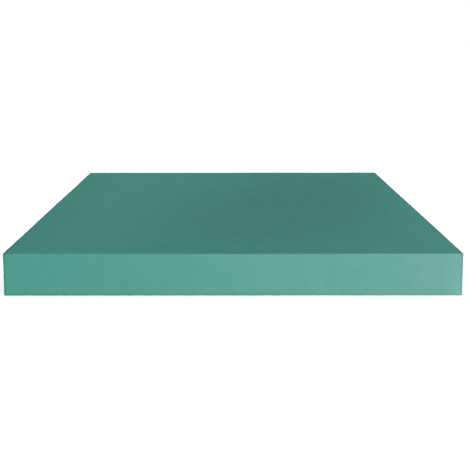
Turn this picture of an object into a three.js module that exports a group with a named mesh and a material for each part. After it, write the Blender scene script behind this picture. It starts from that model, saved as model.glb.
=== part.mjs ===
// A sheet of floral foam: one slab of rigid, open-celled foam that soaks up water and holds cut stems.
// All six sides are sawn from a larger block, so the sheet is a single piece with nothing inside it,
// no skin, no backing board and no moving parts.
//
// Millimetres, +Z up. X runs along the short side and Y along the long side, and the front end faces -Y.
// The origin is the middle of the underside.

import * as THREE from "three";

// Driving dimensions.
const width = 610; // the short side, 2 ft
const length = 914; // the long side, 3 ft
const thickness = 57; // 2 1/4 in, from the underside to the top
const edgeRadius = 1.5; // handling rubs every sawn edge of the soft foam to about this radius
const cornerRadius = 2.5; // the upright corners wear a little rounder

// How finely the round edges are drawn.
const edgeSteps = 4;
const cornerSteps = 4;

const foamMaterial = new THREE.MeshStandardMaterial({
  color: 0x4c9182,
  roughness: 1,
  metalness: 0,
});

// A rectangle about the origin with round corners, drawn anticlockwise.
function roundedRectangle(sizeX, sizeY, radius) {
  const x = sizeX / 2 - radius;
  const y = sizeY / 2 - radius;
  const quarter = Math.PI / 2;
  const centres = [
    [x, -y],
    [x, y],
    [-x, y],
    [-x, -y],
  ];
  const outline = new THREE.Shape();
  centres.forEach(([cx, cy], turn) => {
    outline.absarc(cx, cy, radius, (turn - 1) * quarter, turn * quarter);
  });
  outline.closePath();
  return outline;
}

// The slab. The bevel grows the extruded outline by edgeRadius on every side,
// so the outline and the straight part of the wall both start that much smaller.
function foamSheet() {
  const outline = roundedRectangle(
    width - 2 * edgeRadius,
    length - 2 * edgeRadius,
    cornerRadius - edgeRadius,
  );
  const geometry = new THREE.ExtrudeGeometry(outline, {
    depth: thickness - 2 * edgeRadius,
    bevelThickness: edgeRadius,
    bevelSize: edgeRadius,
    bevelSegments: edgeSteps,
    curveSegments: cornerSteps,
  });
  const sheet = new THREE.Mesh(geometry, foamMaterial);
  sheet.name = "foam_sheet";
  sheet.position.z = edgeRadius;
  return sheet;
}

const floralFoam = new THREE.Group();
floralFoam.add(foamSheet());

export default floralFoam;
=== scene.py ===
# %% [markdown]
# # A sheet of floral foam
#
# Floral foam is a stiff, brittle foam whose cells are all open to each other. It is soaked in water, and cut
# stems are pushed into it. This sheet is the large size, about two feet by three feet and two and a quarter
# inches thick. It was sawn out of a bigger block on all six sides, so it is one piece with no skin.
#
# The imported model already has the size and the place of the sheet. What this lesson adds is everything that
# tells foam from a plain board: sawn faces that wander a little, edges rubbed and crumbled by handling, voids
# that the saw laid open, and a dry, dusty green that takes the light without any shine.

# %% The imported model
import itertools
import math
import random

import bmesh
import bpy
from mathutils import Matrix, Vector
from mathutils.bvhtree import BVHTree


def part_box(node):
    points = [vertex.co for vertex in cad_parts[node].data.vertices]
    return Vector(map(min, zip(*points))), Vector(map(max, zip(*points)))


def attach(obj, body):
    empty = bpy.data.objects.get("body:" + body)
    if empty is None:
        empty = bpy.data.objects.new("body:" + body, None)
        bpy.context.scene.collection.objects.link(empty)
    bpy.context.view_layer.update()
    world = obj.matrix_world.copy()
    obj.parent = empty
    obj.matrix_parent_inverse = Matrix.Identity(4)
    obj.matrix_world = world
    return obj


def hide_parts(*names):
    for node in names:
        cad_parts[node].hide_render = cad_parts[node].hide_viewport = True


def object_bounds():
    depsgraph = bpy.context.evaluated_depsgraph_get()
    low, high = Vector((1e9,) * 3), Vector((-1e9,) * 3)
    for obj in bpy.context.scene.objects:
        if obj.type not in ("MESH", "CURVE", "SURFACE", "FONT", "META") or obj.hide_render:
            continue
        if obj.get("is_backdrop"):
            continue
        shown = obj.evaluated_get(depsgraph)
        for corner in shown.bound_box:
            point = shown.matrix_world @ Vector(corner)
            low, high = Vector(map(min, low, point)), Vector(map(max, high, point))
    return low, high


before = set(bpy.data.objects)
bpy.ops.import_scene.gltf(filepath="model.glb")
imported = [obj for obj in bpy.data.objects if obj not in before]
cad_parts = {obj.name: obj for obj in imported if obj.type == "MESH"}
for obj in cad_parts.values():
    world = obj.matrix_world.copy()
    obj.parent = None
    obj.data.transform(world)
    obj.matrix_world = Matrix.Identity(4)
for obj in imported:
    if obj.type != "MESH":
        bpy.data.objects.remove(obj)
cad_low, cad_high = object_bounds()
sheet_low, sheet_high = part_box("foam_sheet")
sheet_size = sheet_high - sheet_low
sheet_middle = (sheet_low + sheet_high) / 2
mm = 0.001
print("the sheet is", [round(side / mm) for side in sheet_size], "mm")

# %% [markdown]
# ## Where the viewer stands
#
# The viewer sits in front of the short end, a little above the sheet, and uses a long lens. From there the
# front end is square to the eye and the top runs away from it. The distance and the height are what decide
# how fast the two long edges close up, so they are set as lengths, and the lens only sets how large the sheet
# looks. No shift and no depth of field are needed.

# %% Camera
eye_distance = 1.421  # in front of the front end
eye_height = 0.332
eye_to_the_left = 0.0014
looks_down = math.radians(9.98)
looks_right = math.radians(0.15)
lens = 83.85  # millimetres, on a film 36 millimetres wide

bpy.ops.object.camera_add(
    location=(-eye_to_the_left, sheet_low.y - eye_distance, eye_height),
    rotation=(math.radians(90) - looks_down, 0, -looks_right),
)
viewer = bpy.context.object
viewer.name = "viewer"
viewer.data.lens = lens
viewer.data.sensor_width = 36
bpy.context.scene.camera = viewer
bpy.context.scene.view_settings.view_transform = "Standard"
print("the viewer is at", [round(length, 3) for length in viewer.location])

# %% [markdown]
# ## Shader maths as plain arithmetic
#
# Every finish below is worked out with numbers that change over the surface. In Blender each sum is a Math
# node, and a drawing of a hundred such nodes is hard to follow. So one small class wraps the output of a
# node, and Python's own operators add the Math nodes. One method adds every other kind of node: first its
# settings, then the numbers, colours or wires of its sockets.

# %% Wires
class Wire:
    """One output of a node. Arithmetic on wires and plain numbers adds Math nodes beside it."""

    def __init__(self, socket):
        self.socket = socket

    @classmethod
    def node(cls, tree, kind, settings, sockets, output=0):
        """Adds a node of that kind and returns one of its outputs, if it has any."""
        made = tree.nodes.new("ShaderNode" + kind)
        for name, value in settings.items():
            setattr(made, name, value)
        for name, value in sockets.items():
            if isinstance(value, Wire):
                tree.links.new(value.socket, made.inputs[name])
            else:
                made.inputs[name].default_value = value
        return cls(made.outputs[output]) if made.outputs else None

    def maths(self, operation, first, second=0.0):
        settings = {"operation": operation}
        return Wire.node(self.socket.id_data, "Math", settings, {0: first, 1: second})

    def __add__(self, other):
        return self.maths("ADD", self, other)

    def __radd__(self, other):
        return self.maths("ADD", other, self)

    def __sub__(self, other):
        return self.maths("SUBTRACT", self, other)

    def __rsub__(self, other):
        return self.maths("SUBTRACT", other, self)

    def __mul__(self, other):
        return self.maths("MULTIPLY", self, other)

    def __rmul__(self, other):
        return self.maths("MULTIPLY", other, self)

    def __truediv__(self, other):
        return self.maths("DIVIDE", self, other)

    def __rtruediv__(self, other):
        return self.maths("DIVIDE", other, self)

    def __abs__(self):
        return self.maths("ABSOLUTE", self)

    def fade(self, start, end):
        """0 up to start and 1 beyond end, with a soft change between them."""
        return Wire.node(
            self.socket.id_data,
            "MapRange",
            {"interpolation_type": "SMOOTHSTEP"},
            {"Value": self, "From Min": start, "From Max": end},
        )


print("wires can add, subtract, multiply and divide")

# %% [markdown]
# ## Floor and light
#
# The floor is a sheet of white acrylic with a weak light under it, as on a product table, so the shadow at
# the foot of the sheet stays pale. The light above is a white tent: its walls, low down all round, are the
# brightest part, and the roof is dimmer, so an upright face is never much darker than the top. A large
# softbox in front, a little to the right, lifts the front end well above the top.

# %% Floor
floor_side = 100.0
light_from_below = 0.35

bpy.ops.mesh.primitive_plane_add(size=floor_side, location=(0, 0, sheet_low.z))
floor = bpy.context.object
floor.name = "white_table"
floor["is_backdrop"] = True

acrylic = bpy.data.materials.new("white_table")
acrylic.use_nodes = True
acrylic_shader = acrylic.node_tree.nodes["Principled BSDF"]
acrylic_shader.inputs["Base Color"].default_value = (0.93, 0.93, 0.93, 1)
acrylic_shader.inputs["Roughness"].default_value = 1.0
acrylic_shader.inputs["Specular IOR Level"].default_value = 0.0
acrylic_shader.inputs["Emission Color"].default_value = (1, 1, 1, 1)
acrylic_shader.inputs["Emission Strength"].default_value = light_from_below
floor.data.materials.append(acrylic)
print("the floor is", floor_side, "metres square")

# %% Light tent
wall_light = 1.0
roof_light = 0.51
wall_top = math.sin(math.radians(6))  # where the walls end, as the sine of the angle above the horizon
roof_edge = math.sin(math.radians(30))  # where the roof begins

tent = bpy.data.worlds.new("light_tent")
tent.use_nodes = True
tent.node_tree.nodes.clear()
bpy.context.scene.world = tent
towards = Wire.node(tent.node_tree, "TexCoord", {}, {}, "Generated")
upward = Wire.node(tent.node_tree, "SeparateXYZ", {}, {"Vector": towards}, "Z")
brightness = wall_light - (wall_light - roof_light) * upward.fade(wall_top, roof_edge)
glow = Wire.node(tent.node_tree, "Background", {}, {"Strength": brightness, "Color": (1, 1, 1, 1)})
Wire.node(tent.node_tree, "OutputWorld", {}, {"Surface": glow})
print("the tent has", len(tent.node_tree.nodes), "nodes")

# %% Softbox
softbox_above = math.radians(31)  # above the horizon, seen from the sheet
softbox_to_the_right = math.radians(8)
softbox_width = math.radians(35)  # how wide it looks from the sheet
softbox_strength = 1.55
softbox_stand = (1, -3, 2)  # a sun lamp may stand anywhere, since only its direction counts

bpy.ops.object.light_add(type="SUN", location=softbox_stand)
softbox = bpy.context.object
softbox.name = "softbox"
softbox.data.energy = softbox_strength
softbox.data.angle = softbox_width
softbox.rotation_euler = (math.radians(90) - softbox_above, 0, softbox_to_the_right)
print("the softbox gives", softbox_strength, "watts a square metre")

# %% [markdown]
# ## The slab
#
# The real sheet starts as a block and is sawn to size, so the model starts the same way: a cube of the
# sheet's size. The saw leaves sharp edges, and soft foam loses them at the first touch, the upright corners
# most of all. Two bevels do that: first the four upright edges, then the rims of the top and the underside.
#
# Bevels and cuts are edit-mode tools that work on what is selected. A person would click the edges; here one
# helper looks at every edge and selects those that a test picks out.

# %% Block
for thing in bpy.context.selected_objects:
    thing.select_set(False)
bpy.ops.mesh.primitive_cube_add(size=1, location=sheet_middle, scale=sheet_size)
slab = bpy.context.object
slab.name = "sawn_slab"
bpy.ops.object.transform_apply(location=True, rotation=True, scale=True)
print("block of", len(slab.data.polygons), "faces")


# %% Picking edges
nearly_parallel = 0.999  # the cosine of about two and a half degrees
hair = 0.01 * mm  # closer than this counts as touching


def from_the_outside(point):
    """How deep a point lies behind the nearer of the two faces, for X, for Y and for Z."""
    return [
        min(point[axis] - sheet_low[axis], sheet_high[axis] - point[axis])
        for axis in range(3)
    ]


def runs_along(edge, axis):
    """Whether an edge is parallel to X (0), Y (1) or Z (2)."""
    direction = edge.verts[1].co - edge.verts[0].co
    return abs(direction[axis]) > nearly_parallel * direction.length


def pick_edges(wanted):
    """Selects, on the piece in edit mode, the edges for which wanted is true, and nothing else."""
    bpy.ops.mesh.select_mode(type="EDGE")
    bpy.ops.mesh.select_all(action="DESELECT")
    mesh = bmesh.from_edit_mesh(bpy.context.object.data)
    for edge in mesh.edges:
        if wanted(edge):
            edge.select = True
    bmesh.update_edit_mesh(bpy.context.object.data)


print("edges can be picked by a test")

# %% Rubbed edges
corner_radius = 2.5 * mm
rim_radius = 0.8 * mm
steps_of_rounding = 4


def is_rim(edge):
    """Whether an edge lies on the outline of the top or of the underside."""
    return not runs_along(edge, 2) and all(
        from_the_outside(vertex.co)[2] < hair
        and min(from_the_outside(vertex.co)[:2]) < corner_radius
        for vertex in edge.verts
    )


bpy.ops.object.mode_set(mode="EDIT")
pick_edges(lambda edge: runs_along(edge, 2))
bpy.ops.mesh.bevel(offset=corner_radius, segments=steps_of_rounding, affect="EDGES")
pick_edges(is_rim)
bpy.ops.mesh.bevel(offset=rim_radius, segments=steps_of_rounding, affect="EDGES")
bpy.ops.object.mode_set(mode="OBJECT")
print("rounded block of", len(slab.data.polygons), "faces")

# %% [markdown]
# ## Room for wear
#
# A face with no points inside it can't wander, and an edge with points only at its ends can't crumble. The
# slab is therefore cut across in all three directions, as if with a saw guide: wide panels in the middle of
# each face, where it only has to bow, and narrow rows beside every edge. Then the borders alone are divided
# once more along their length, because that is where the crumbs come off. Dividing the whole slab so finely
# would take over a hundred times as many faces and show nothing more.

# %% Saw guide
panel = 15 * mm
border_rows = (3.5 * mm, 6 * mm, 10 * mm)  # behind each edge


def cutting_places(low, high):
    """Where to cut between low and high: close together at the two ends and evenly in the middle."""
    first, last = low + border_rows[-1], high - border_rows[-1]
    count = round((last - first) / panel)
    middle = [first + (last - first) * step / count for step in range(count + 1)]
    ends = [low + row for row in border_rows[:-1]] + [high - row for row in border_rows[:-1]]
    return middle + ends


bpy.ops.object.mode_set(mode="EDIT")
for axis in range(3):
    across = Vector((axis == 0, axis == 1, axis == 2))
    for place in cutting_places(sheet_low[axis], sheet_high[axis]):
        bpy.ops.mesh.select_all(action="SELECT")
        bpy.ops.mesh.bisect(plane_co=across * place, plane_no=across)
bpy.ops.object.mode_set(mode="OBJECT")
print("panelled slab of", len(slab.data.polygons), "faces")

# %% Fine borders
crumb_spacing = 2.5 * mm
nearly_whole = 0.8  # pieces this much of a length are divided like whole ones


def is_border(edge, longer_than):
    """Whether an edge is that long and runs beside an edge of the slab, in the same direction."""
    if (edge.verts[1].co - edge.verts[0].co).length < longer_than:
        return False
    depth = from_the_outside(edge.verts[0].co)
    for axis in range(3):
        others = [depth[other] for other in range(3) if other != axis]
        if runs_along(edge, axis) and max(others) < border_rows[-1] + hair:
            return True
    return False


bpy.ops.object.mode_set(mode="EDIT")
for length in (panel, 2 * crumb_spacing):
    pick_edges(lambda edge: is_border(edge, nearly_whole * length))
    bpy.ops.mesh.subdivide(number_cuts=round(length / crumb_spacing) - 1)
bpy.ops.object.mode_set(mode="OBJECT")
print("slab with fine borders of", len(slab.data.polygons), "faces")

# %% [markdown]
# ## What the saw and the hands did
#
# A long thin saw blade drifts, so a sawn face of foam is flat only to about half a millimetre. The sheet has
# also been picked up by its edges, and the brittle cells there have come away in crumbs. The points could be
# moved one by one, but the Displace modifier does it for all of them with a soft cloud pattern: a broad one
# for the drift, which goes about as far out as in, and a small one for the crumbs, which goes a little more
# in than out. A vertex group says how much each point takes part: crumbs only near the edges, and no drift on
# the underside, because the sheet lies flat on it.
#
# The middle of the front rim has also settled by about half a millimetre, which is a plain move down. Last,
# every point that the wear pushed below the table is pressed flat, as the weight of the sheet does.

# %% How much each point takes part
crumb_reach = 6 * mm

settled_middle = -0.02  # a little to the left
settled_span = 0.30  # to each side of that
settled_reach = 0.12  # back from the front end
drift_rises = 2.0  # the drift is in full force from half the height up


def hump(distance, reach):
    """1 at no distance, 0 from reach on, and a smooth curve between."""
    return max(0.0, 1 - (distance / reach) ** 2) ** 2


shares = {
    "drift": slab.vertex_groups.new(name="drift"),
    "crumbs": slab.vertex_groups.new(name="crumbs"),
    "settling": slab.vertex_groups.new(name="settling"),
}
for vertex in slab.data.vertices:
    from_an_edge = sorted(from_the_outside(vertex.co))[1]
    above_the_table = (vertex.co.z - sheet_low.z) / sheet_size.z
    in_the_span = hump(vertex.co.x - settled_middle, settled_span)
    at_the_front = hump(vertex.co.y - sheet_low.y, settled_reach)
    shares["drift"].add([vertex.index], min(1.0, drift_rises * above_the_table), "REPLACE")
    shares["crumbs"].add([vertex.index], max(0.0, 1 - from_an_edge / crumb_reach), "REPLACE")
    shares["settling"].add([vertex.index], above_the_table * in_the_span * at_the_front, "REPLACE")
print("weighed", len(slab.data.vertices), "points")


# %% Drift, crumbs and settling
settled_depth = 0.6 * mm


def add_wear(share, depth, mid_level):
    """Adds a Displace modifier that moves the points of a vertex group by up to that depth."""
    bpy.ops.object.modifier_add(type="DISPLACE")
    wear = slab.modifiers[-1]
    wear.vertex_group = share
    wear.strength = depth
    wear.mid_level = mid_level
    return wear


def wear_in_patches(share, patch, depth, mid_level):
    """Moves a vertex group out and in by a soft cloud pattern. The higher mid_level, the more inwards."""
    pattern = bpy.data.textures.new(share, "CLOUDS")
    pattern.noise_scale = patch
    pattern.noise_depth = 2
    wear = add_wear(share, depth, mid_level)
    wear.texture = pattern
    wear.texture_coords = "LOCAL"
    bpy.ops.object.modifier_apply(modifier=wear.name)


wear_in_patches("drift", patch=220 * mm, depth=0.9 * mm, mid_level=0.45)
wear_in_patches("crumbs", patch=7 * mm, depth=0.8 * mm, mid_level=0.6)
settling = add_wear("settling", depth=-settled_depth, mid_level=0)
settling.direction = "Z"
bpy.ops.object.modifier_apply(modifier=settling.name)
print("lowest point", round(min(v.co.z for v in slab.data.vertices) / mm, 3), "mm")

# %% Lying on the table
bpy.ops.object.mode_set(mode="EDIT")
bpy.ops.mesh.select_mode(type="VERT")
bpy.ops.mesh.select_all(action="DESELECT")
worn = bmesh.from_edit_mesh(slab.data)
for vertex in worn.verts:
    vertex.select = vertex.co.z < sheet_low.z
print("pressing", sum(vertex.select for vertex in worn.verts), "points flat")
bmesh.update_edit_mesh(slab.data)
bpy.ops.transform.resize(value=(1, 1, 0), center_override=(0, 0, sheet_low.z))
bpy.ops.object.mode_set(mode="OBJECT")
print("lowest point", round(min(v.co.z for v in slab.data.vertices) / mm, 3), "mm")

# %% [markdown]
# ## Voids and chips
#
# Wherever the saw meets a gas bubble that grew larger than the cells, it opens a small round void, and here
# and there a crumb has broken out of an edge. A bump pattern would only paint them, and they would vanish
# along the outline, so they are cut. Modelled by hand, each would be a lump of clay pressed into the slab and
# lifted out again, and a Boolean does the same.
#
# A few rough balls are made once, by shaking the points of a ball: coarse ones for voids like pinpricks and
# finer ones for the larger bubbles and the chips. Copies of them are set on every face and along every edge,
# joined, and cut away in one go. The faces are divided into squares with at most one void in each, so that
# the cutters stay apart. Each cutter is dropped onto the worn surface by a ray, so its bite is as deep as it
# says although the face wanders. Five nicks in the front end have places of their own.

# %% Rough balls
dice = random.Random(11)  # any number will do, as long as it stays
balls_of_each_kind = 4
roughness_of_balls = 0.14  # of their radius


def rough_balls(fineness):
    """A few rough balls of radius 1, all different. Fineness 1 has 20 faces, and 2 has 80."""
    balls = []
    for number in range(balls_of_each_kind):
        bpy.ops.mesh.primitive_ico_sphere_add(subdivisions=fineness, radius=1)
        bpy.ops.object.mode_set(mode="EDIT")
        bpy.ops.transform.vertex_random(offset=roughness_of_balls, uniform=1.0, seed=number)
        bpy.ops.object.mode_set(mode="OBJECT")
        balls.append(bpy.context.object)
    return balls


pinprick_balls = rough_balls(1)
bubble_balls = rough_balls(2)
print("made", len(pinprick_balls + bubble_balls), "rough balls")

# %% Setting a cutter
finer_from = 1.2 * mm  # cutters of this radius and more use the finer balls
stretch = (0.85, 1.15)  # of its radius, in each direction on its own
worn_surface = BVHTree.FromObject(slab, bpy.context.evaluated_depsgraph_get())
cutters = []


def set_cutter(start, inward, radius, bite):
    """Drops a copy of a rough ball from start until it bites that deep into the slab."""
    spot = worn_surface.ray_cast(start, inward)[0]
    if spot is None:
        return
    cutter = dice.choice(bubble_balls if radius >= finer_from else pinprick_balls).copy()
    cutter.data = cutter.data.copy()
    cutter.location = spot - inward * (radius - bite)
    cutter.rotation_euler = [dice.uniform(0, math.tau) for _ in range(3)]
    cutter.scale = [radius * dice.uniform(*stretch) for _ in range(3)]
    bpy.context.scene.collection.objects.link(cutter)
    cutters.append(cutter)


print("cutters land on a worn surface of", len(slab.data.polygons), "faces")

# %% Voids in the faces
void_square = 18 * mm
void_margin = 7 * mm  # kept clear beside every edge
off_the_middle = 0.3  # of a square, the farthest that a void strays in it
share_of_squares = 0.6
share_underneath = 0.25  # the underside is pressed smoother
smallest_void = 0.5 * mm
largest_void = 2.0 * mm
largest_in_front = 1.0 * mm
mostly_small = 4  # the higher, the rarer are the large ones
void_bite = (0.35, 0.6)  # of the radius
outside = 20 * mm  # where cutters are dropped from


def squares_along(axis, square):
    """How many whole squares fit along a side, clear of its ends."""
    return max(1, int((sheet_size[axis] - 2 * void_margin) / square))


def place_in(number, count, square):
    """A place inside one square of a row of them, measured from the middle of the row."""
    stray = dice.uniform(-off_the_middle, off_the_middle)
    return (number + 0.5 + stray - count / 2) * square


def set_voids(axis, side, share, largest):
    """Sets voids on one face, side -1 or 1 of an axis, in that share of its squares."""
    inward = Vector((0, 0, 0))
    inward[axis] = -side
    over_the_face = [other for other in range(3) if other != axis]
    counts = [squares_along(other, void_square) for other in over_the_face]
    for square in itertools.product(*map(range, counts)):
        start = sheet_middle + inward * (-sheet_size[axis] / 2 - outside)
        for other, number, count in zip(over_the_face, square, counts):
            start[other] += place_in(number, count, void_square)
        radius = smallest_void + (largest - smallest_void) * dice.random() ** mostly_small
        bite = radius * dice.uniform(*void_bite)
        if dice.random() < share:
            set_cutter(start, inward, radius, bite)


for axis, side in itertools.product(range(3), (-1, 1)):
    is_front = (axis, side) == (1, -1)
    is_underside = (axis, side) == (2, -1)
    share = share_underneath if is_underside else share_of_squares
    set_voids(axis, side, share, largest_in_front if is_front else largest_void)
print("set", len(cutters), "voids")

# %% Nicks in the front end
nicks = ((-289, 37), (-248, 51), (-159, 47), (216, 26), (235, 37))  # across and up, in millimetres
nick_radius = 1.3 * mm
nick_bite = nick_radius / 2
backwards = Vector((0, 1, 0))

for nick_across, nick_up in nicks:
    start = Vector((nick_across * mm, sheet_low.y - outside, nick_up * mm))
    set_cutter(start, backwards, nick_radius, nick_bite)
print("set", len(nicks), "nicks")

# %% Chips out of the edges
chip_square = 36 * mm
chip_share = 0.4
smallest_chip = 1.6 * mm
largest_chip = 3.6 * mm
chip_bite = (0.2, 0.35)  # of the radius


def set_chips(axis):
    """Sets chips along the four edges that run along an axis."""
    first, second = [other for other in range(3) if other != axis]
    count = squares_along(axis, chip_square)
    for side_one, side_two, number in itertools.product((-1, 1), (-1, 1), range(count)):
        inward = Vector((0, 0, 0))
        inward[first] = -side_one
        inward[second] = -side_two
        inward.normalize()
        start = sheet_middle.copy()
        start[axis] += place_in(number, count, chip_square)
        start[first] += side_one * sheet_size[first] / 2
        start[second] += side_two * sheet_size[second] / 2
        radius = dice.uniform(smallest_chip, largest_chip)
        bite = radius * dice.uniform(*chip_bite)
        if dice.random() < chip_share:
            set_cutter(start - inward * outside, inward, radius, bite)


for axis in range(3):
    set_chips(axis)
print("set", len(cutters), "cutters in all")

# %% [markdown]
# ## Cutting, and lips that stay sharp
#
# Where a void opens, the flat sawn surface ends at a sharp lip. Smooth shading would blend the light across
# the lip and leave dark smears round every hole, so the lips have to be found and marked sharp. Their angles
# differ too much to find them by angle. Instead the slab and the clay each get a plain material first, and
# the Boolean carries the clay's over to the inside of every void: a lip is an edge between the two. The
# finish replaces both materials at the end.

# %% Cutting them away
for thing in bpy.context.selected_objects:
    thing.select_set(False)
for cutter in cutters:
    cutter.select_set(True)
bpy.context.view_layer.objects.active = cutters[0]
bpy.ops.object.join()
clay = bpy.context.object
clay.data.materials.append(bpy.data.materials.new("clay"))
clay.select_set(False)

slab.select_set(True)
slab.data.materials.append(bpy.data.materials.new("sawn"))
bpy.context.view_layer.objects.active = slab
bpy.ops.object.modifier_add(type="BOOLEAN")
bite_out = slab.modifiers[-1]
bite_out.operation = "DIFFERENCE"
bite_out.solver = "MANIFOLD"
bite_out.material_mode = "TRANSFER"
bite_out.object = clay
bpy.ops.object.modifier_apply(modifier=bite_out.name)
for spent in (clay, *pinprick_balls, *bubble_balls):
    bpy.data.objects.remove(spent)
print("cut slab of", len(slab.data.polygons), "faces")

# %% Shading
smooth_below = math.radians(50)


def is_lip(edge):
    """Whether an edge lies between the sawn surface and the inside of a void."""
    return len({face.material_index for face in edge.link_faces}) == 2


bpy.ops.object.mode_set(mode="EDIT")
pick_edges(is_lip)
bpy.ops.mesh.mark_sharp()
bpy.ops.object.mode_set(mode="OBJECT")
print("sharp lips of", sum(edge.use_edge_sharp for edge in slab.data.edges), "edges")
bpy.ops.object.shade_smooth_by_angle(angle=smooth_below, keep_sharp_edges=True)
slab.vertex_groups.clear()
slab.data.calc_loop_triangles()
print(len(slab.data.loop_triangles), "triangles")

# %% [markdown]
# ## The finish
#
# Dry floral foam is dyed right through, so its colour hardly changes, and what the eye reads as foam is how
# it changes: broad patches where the block cured lighter or darker, a grain of cells at the limit of sight,
# pinholes with painted shade in them, painted shade along the edges and at the foot, the faint lines of the
# saw, and pale dust with a painted sheen on the upright faces. It has no shine at all, because the light is
# lost among the open cells.
#
# A painted picture could carry all this, but it would blur from near by. Patterns that are worked out at each
# point stay sharp. They read Object coordinates, which are metres on the sheet, so every size is a real one.

# %% Place on the sheet
foam = bpy.data.materials.new("dry_green_foam")
foam.use_nodes = True
tree = foam.node_tree
tree.nodes.clear()

place = Wire.node(tree, "TexCoord", {}, {}, "Object")
across_sheet = Wire.node(tree, "SeparateXYZ", {}, {"Vector": place}, "X")
along_sheet = Wire.node(tree, "SeparateXYZ", {}, {"Vector": place}, "Y")
up_sheet = Wire.node(tree, "SeparateXYZ", {}, {"Vector": place}, "Z")


def clouds(size, detail=2.0):
    """Soft patches about that many metres wide, from 0 to 1."""
    sockets = {"Vector": place, "Scale": 1 / size, "Detail": detail}
    return Wire.node(tree, "TexNoise", {}, sockets, "Fac")


print("patterns are read in", place.socket.name, "coordinates")

# %% Which face is which
skin = 2.5 * mm  # the depth behind a face that still counts as that face
half_width = sheet_size.x / 2
half_length = sheet_size.y / 2

on_an_end = abs(along_sheet).fade(half_length - skin, half_length - skin / 2)
on_a_side = abs(across_sheet).fade(half_width - skin, half_width - skin / 2)
upright = on_an_end + on_a_side - on_an_end * on_a_side
print("the four upright faces start", skin / mm, "mm behind their planes")

# %% [markdown]
# ### Broad tone
#
# A tone is how much lighter or darker than its plain green the foam is: 0.1 is a tenth lighter. The top has a
# wide, darker pool to the right of its middle, which slants to the right towards the back. It is darker again
# beside its left edge and lighter beside its right edge. Clouds of three sizes mottle every face, the smaller
# ones more on top. Adding them up as numbers, and mixing colours only once at the end, keeps each one easy to
# weaken or leave out.

# %% The darker pool
pool_middle = 0.10  # to the right of the middle line
pool_slant = 0.19  # how far it moves right for each metre towards the back
pool_half_width = 0.18
pool_half_length = 0.52

pool_across = (across_sheet - pool_middle - pool_slant * along_sheet) / pool_half_width
pool_along = along_sheet / pool_half_length
spread = pool_across * pool_across + pool_along * pool_along
pool = 1 / (1 + spread * spread)
print("the pool is", 2 * pool_half_width, "by", 2 * pool_half_length, "metres")

# %% Margins and mottling
plain_top = 0.14  # how much lighter the top is before the rest
pool_darkens = 0.19
left_margin_darkens = 0.06
right_margin_lightens = 0.05


def margin(from_the_edge, reach):
    """1 beside an edge of the sheet, and 0 from that reach on."""
    return 1 - from_the_edge.fade(0.01, reach)


def mottle(size, strength, times_on_top):
    """Patches of that size, lighter and darker by that tone, and so many times stronger on top."""
    return strength * (clouds(size) - 0.5) * (times_on_top - (times_on_top - 1) * upright)


# darker beside the left edge of the top and lighter beside its right edge
darker_left_margin = left_margin_darkens * margin(across_sheet + half_width, reach=0.09)
lighter_right_margin = right_margin_lightens * margin(half_width - across_sheet, reach=0.08)
tone_of_top = plain_top - pool_darkens * pool - darker_left_margin + lighter_right_margin
patches = mottle(180 * mm, strength=0.05, times_on_top=1)
blotches = mottle(30 * mm, strength=0.04, times_on_top=3)
speckle = mottle(8 * mm, strength=0.06, times_on_top=4)
broad_tone = tone_of_top * (1 - upright) + patches + blotches + speckle
print("the broad tone takes", len(tree.nodes), "nodes")

# %% [markdown]
# ### Cells, pinholes, painted edge shade and saw lines
#
# Cells, pinholes and saw lines are marks in the foam itself. A Voronoi pattern divides space into cells round
# scattered points, which is how foam is built, so it gives the cells. A second, wider one gives the pinholes:
# each of its cells draws a lot for the size of its hole, and a small lot gives none. A perfect pattern would
# give round holes, so the place is first shaken a little. Each pinhole is also darkened in colour as painted
# shade inside it.
#
# Along the edges the green is darkened as painted shade, for edges that turn away from the light and for the
# contact shadow at the foot. The band is a few millimetres wide along the long edges of the top and down the
# upright corners, and narrower at the foot. The front and back rims are crisp. The saw leaves lines across
# its way, too faint to show except where light grazes them.

# %% Grain and pinholes
grain_size = 2.4 * mm
cell_size = 0.9 * mm
pinhole_square = 4 * mm
shake_size = 1.2 * mm
shake = 1.4 * mm
pinhole_spread = 0.36  # the largest radius before the cutoff, as a share of its square
pinhole_cutoff = 0.05  # taken off every radius, so that small lots give none
never_zero = 0.02  # because the distance is divided by the radius

grain = clouds(grain_size, detail=3.0) - 0.5
cell_pattern = {"Vector": place, "Scale": 1 / cell_size}
cells = Wire.node(tree, "TexVoronoi", {"feature": "F1"}, cell_pattern, "Distance")
shaking = Wire.node(tree, "TexNoise", {}, {"Vector": place, "Scale": 1 / shake_size}, "Color")
shaken = {0: shaking, 1: (shake, shake, shake), 2: place}
shaken_place = Wire.node(tree, "VectorMath", {"operation": "MULTIPLY_ADD"}, shaken, "Vector")
pinhole_pattern = {"Vector": shaken_place, "Scale": 1 / pinhole_square}
pinhole_distance = Wire.node(tree, "TexVoronoi", {"feature": "F1"}, pinhole_pattern, "Distance")
lot = Wire.node(tree, "TexVoronoi", {"feature": "F1"}, pinhole_pattern, "Color")
pinhole_radius = pinhole_spread * lot * lot - pinhole_cutoff
pinhole_radius = pinhole_radius.maths("MAXIMUM", pinhole_radius, never_zero)
pinholes = 1 - (pinhole_distance / pinhole_radius).fade(0.5, 1)
largest_pinhole = (pinhole_spread - pinhole_cutoff) * pinhole_square
print("the largest pinhole is", round(largest_pinhole / mm, 1), "mm in radius")

# %% Painted edge shade
reach_from_long_edges = 5.5 * mm
reach_from_corners = 4 * mm
reach_from_the_foot = 2.2 * mm
fully_shaded = 0.3  # the part of each reach that is shaded in full

to_a_side = half_width - abs(across_sheet)
to_an_end = half_length - abs(along_sheet)
to_the_top = sheet_high.z - up_sheet
to_the_foot = up_sheet - sheet_low.z


def near_both(first, second, reach):
    """1 on the edge where two faces meet, and 0 from that reach on."""
    return 1 - first.maths("MAXIMUM", first, second).fade(fully_shaded * reach, reach)


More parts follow.
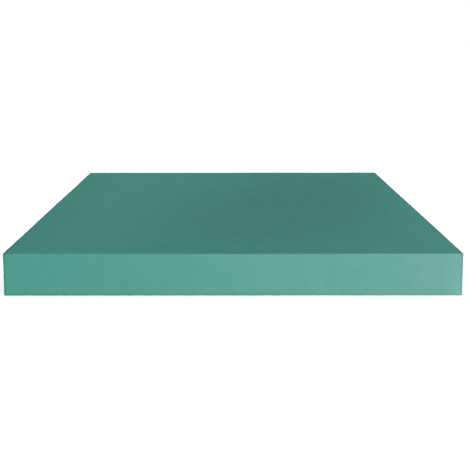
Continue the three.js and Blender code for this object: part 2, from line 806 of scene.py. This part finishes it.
long_edges = near_both(to_a_side, to_the_top, reach_from_long_edges)
corners = near_both(to_a_side, to_an_end, reach_from_corners)
to_a_wall = to_a_side.maths("MINIMUM", to_a_side, to_an_end)
foot = near_both(to_the_foot, to_a_wall, reach_from_the_foot)
# painted shade: darker along the long edges of the top, down the upright corners and at the foot
shaded = long_edges.maths("MAXIMUM", long_edges, corners.maths("MAXIMUM", corners, foot))
shaded = shaded * (0.5 + clouds(12 * mm))  # more here and less there
print("foam is crushed up to", round(reach_from_long_edges / mm, 1), "mm from the long edges")

# %% Saw lines
saw_pitch = 4 * mm
wander = 0.6 * math.tau  # six tenths of a line, from one extreme to the other
saw_wander = wander * (clouds(60 * mm) - 0.5)


def saw_marks(way):
    """Waves one saw_pitch long in that direction, from -1 to 1."""
    phase = way * (math.tau / saw_pitch) + saw_wander
    return phase.maths("SINE", phase)


saw_lines = saw_marks(along_sheet) * (1 - on_an_end) + saw_marks(across_sheet) * on_an_end
print("a saw line every", round(saw_pitch / mm, 1), "mm")

# %% [markdown]
# ### Dust, painted sheen and colour
#
# The upright faces carry pale dust in their open cells and, with it, a painted sheen: a pale haze that stands
# in for light from the right. Both lie thin at the left and thicker towards the right, thickest beside the
# right corners, and in clouds everywhere. The top gets none.
#
# The green itself is a mix of a deep and a light version of one colour, and the sum of all tones says how
# much of each. That can't shift the hue, as adding to red, green and blue one by one would. Dust and painted
# sheen are then a second mix on top, of a paler and bluer colour.

# %% Dust and painted sheen
dust_and_sheen_everywhere = 0.69
dust_and_sheen_in_clouds = 0.6
dust_and_sheen_in_corners = 0.36
corner_start = 6 * mm
corner_end = 34 * mm

towards_the_right = 0.5 + across_sheet / sheet_size.x
from_a_corner = to_a_side.maths("MAXIMUM", to_a_side, to_an_end)
at_a_corner = 1 - from_a_corner.fade(corner_start, corner_end)
thickness_of_dust_and_sheen = dust_and_sheen_everywhere + dust_and_sheen_in_clouds * clouds(45 * mm) + dust_and_sheen_in_corners * at_a_corner
# pale dust together with a painted sheen, a haze standing in for light from the right
dust_and_sheen = upright * towards_the_right * thickness_of_dust_and_sheen
print("with dust there are", len(tree.nodes), "nodes")

# %% Colour
base_green = (0.063, 0.253, 0.209)
tone_range = 0.5  # how far the deep and the light green lie from the base colour
dust_and_sheen_colour = (0.50, 0.73, 0.72, 1)
dust_and_sheen_hides = 0.14  # how much of the green, where the dust and painted sheen is 1
grain_tone = 0.14
# painted shade inside the pinholes, which are darkened in colour
pinhole_shade = 0.1
# painted shade along the edges and at the foot
edge_shade_tone = 0.3
saw_tone = 0.01

deep_green = (*[(1 - tone_range) * part for part in base_green], 1)
light_green = (*[(1 + tone_range) * part for part in base_green], 1)
twice_on_top = 2 - upright
fine_tone = grain * grain_tone * twice_on_top - pinholes * pinhole_shade * twice_on_top
tone = broad_tone + fine_tone - shaded * edge_shade_tone + saw_lines * saw_tone
share_of_light = 0.5 + tone / (2 * tone_range)


def mix(share, first, second):
    """The first colour where share is 0, the second where it is 1, and a mix of both between."""
    return Wire.node(tree, "Mix", {"data_type": "RGBA"}, {0: share, 6: first, 7: second}, 2)


# the dust and painted sheen are mixed over the green
colour = mix(dust_and_sheen * dust_and_sheen_hides, mix(share_of_light, deep_green, light_green), dust_and_sheen_colour)
print("with colour there are", len(tree.nodes), "nodes")

# %% [markdown]
# ### Relief and shader
#
# The voids are cut in the mesh, but the cells are far too small and too many for that. One height, in real
# metres, adds up the cells, the grain, the pinholes and the saw lines, and a Bump node tilts the shading by
# it. Light enters the open cells and doesn't come back as a gleam, so the surface is fully rough and its
# specular level is nearly nothing.

# %% Relief
cell_depth = 0.16 * mm
grain_depth = 0.12 * mm
pinhole_depth = 0.25 * mm
saw_depth = 0.02 * mm

relief = cells * cell_depth + grain * grain_depth - pinholes * pinhole_depth + saw_lines * saw_depth
bumps = Wire.node(tree, "Bump", {}, {"Strength": 1.0, "Distance": 1.0, "Height": relief})
print("the deepest relief is", pinhole_depth / mm, "mm")

# %% Shader
smoother_in_pinholes = 0.08
hardly_any_gleam = 0.05

shader = Wire.node(
    tree,
    "BsdfPrincipled",
    {},
    {
        "Base Color": colour,
        "Roughness": 1 - smoother_in_pinholes * pinholes,
        "Specular IOR Level": hardly_any_gleam,
        "Normal": bumps,
    },
)
Wire.node(tree, "OutputMaterial", {}, {"Surface": shader})
slab.data.materials.clear()
slab.data.materials.append(foam)
print("the finish has", len(tree.nodes), "nodes")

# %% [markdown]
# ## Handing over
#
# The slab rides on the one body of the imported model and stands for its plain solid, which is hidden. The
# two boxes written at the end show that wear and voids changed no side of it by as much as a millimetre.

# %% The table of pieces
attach(slab, "root")
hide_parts("foam_sheet")
print(slab.name, "stands for foam_sheet and rides on the body root")

# %% The two boxes
seen_low, seen_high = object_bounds()
growth = (seen_high - seen_low) - (cad_high - cad_low)
print("grew by", [round(side / mm, 2) for side in growth], "mm")
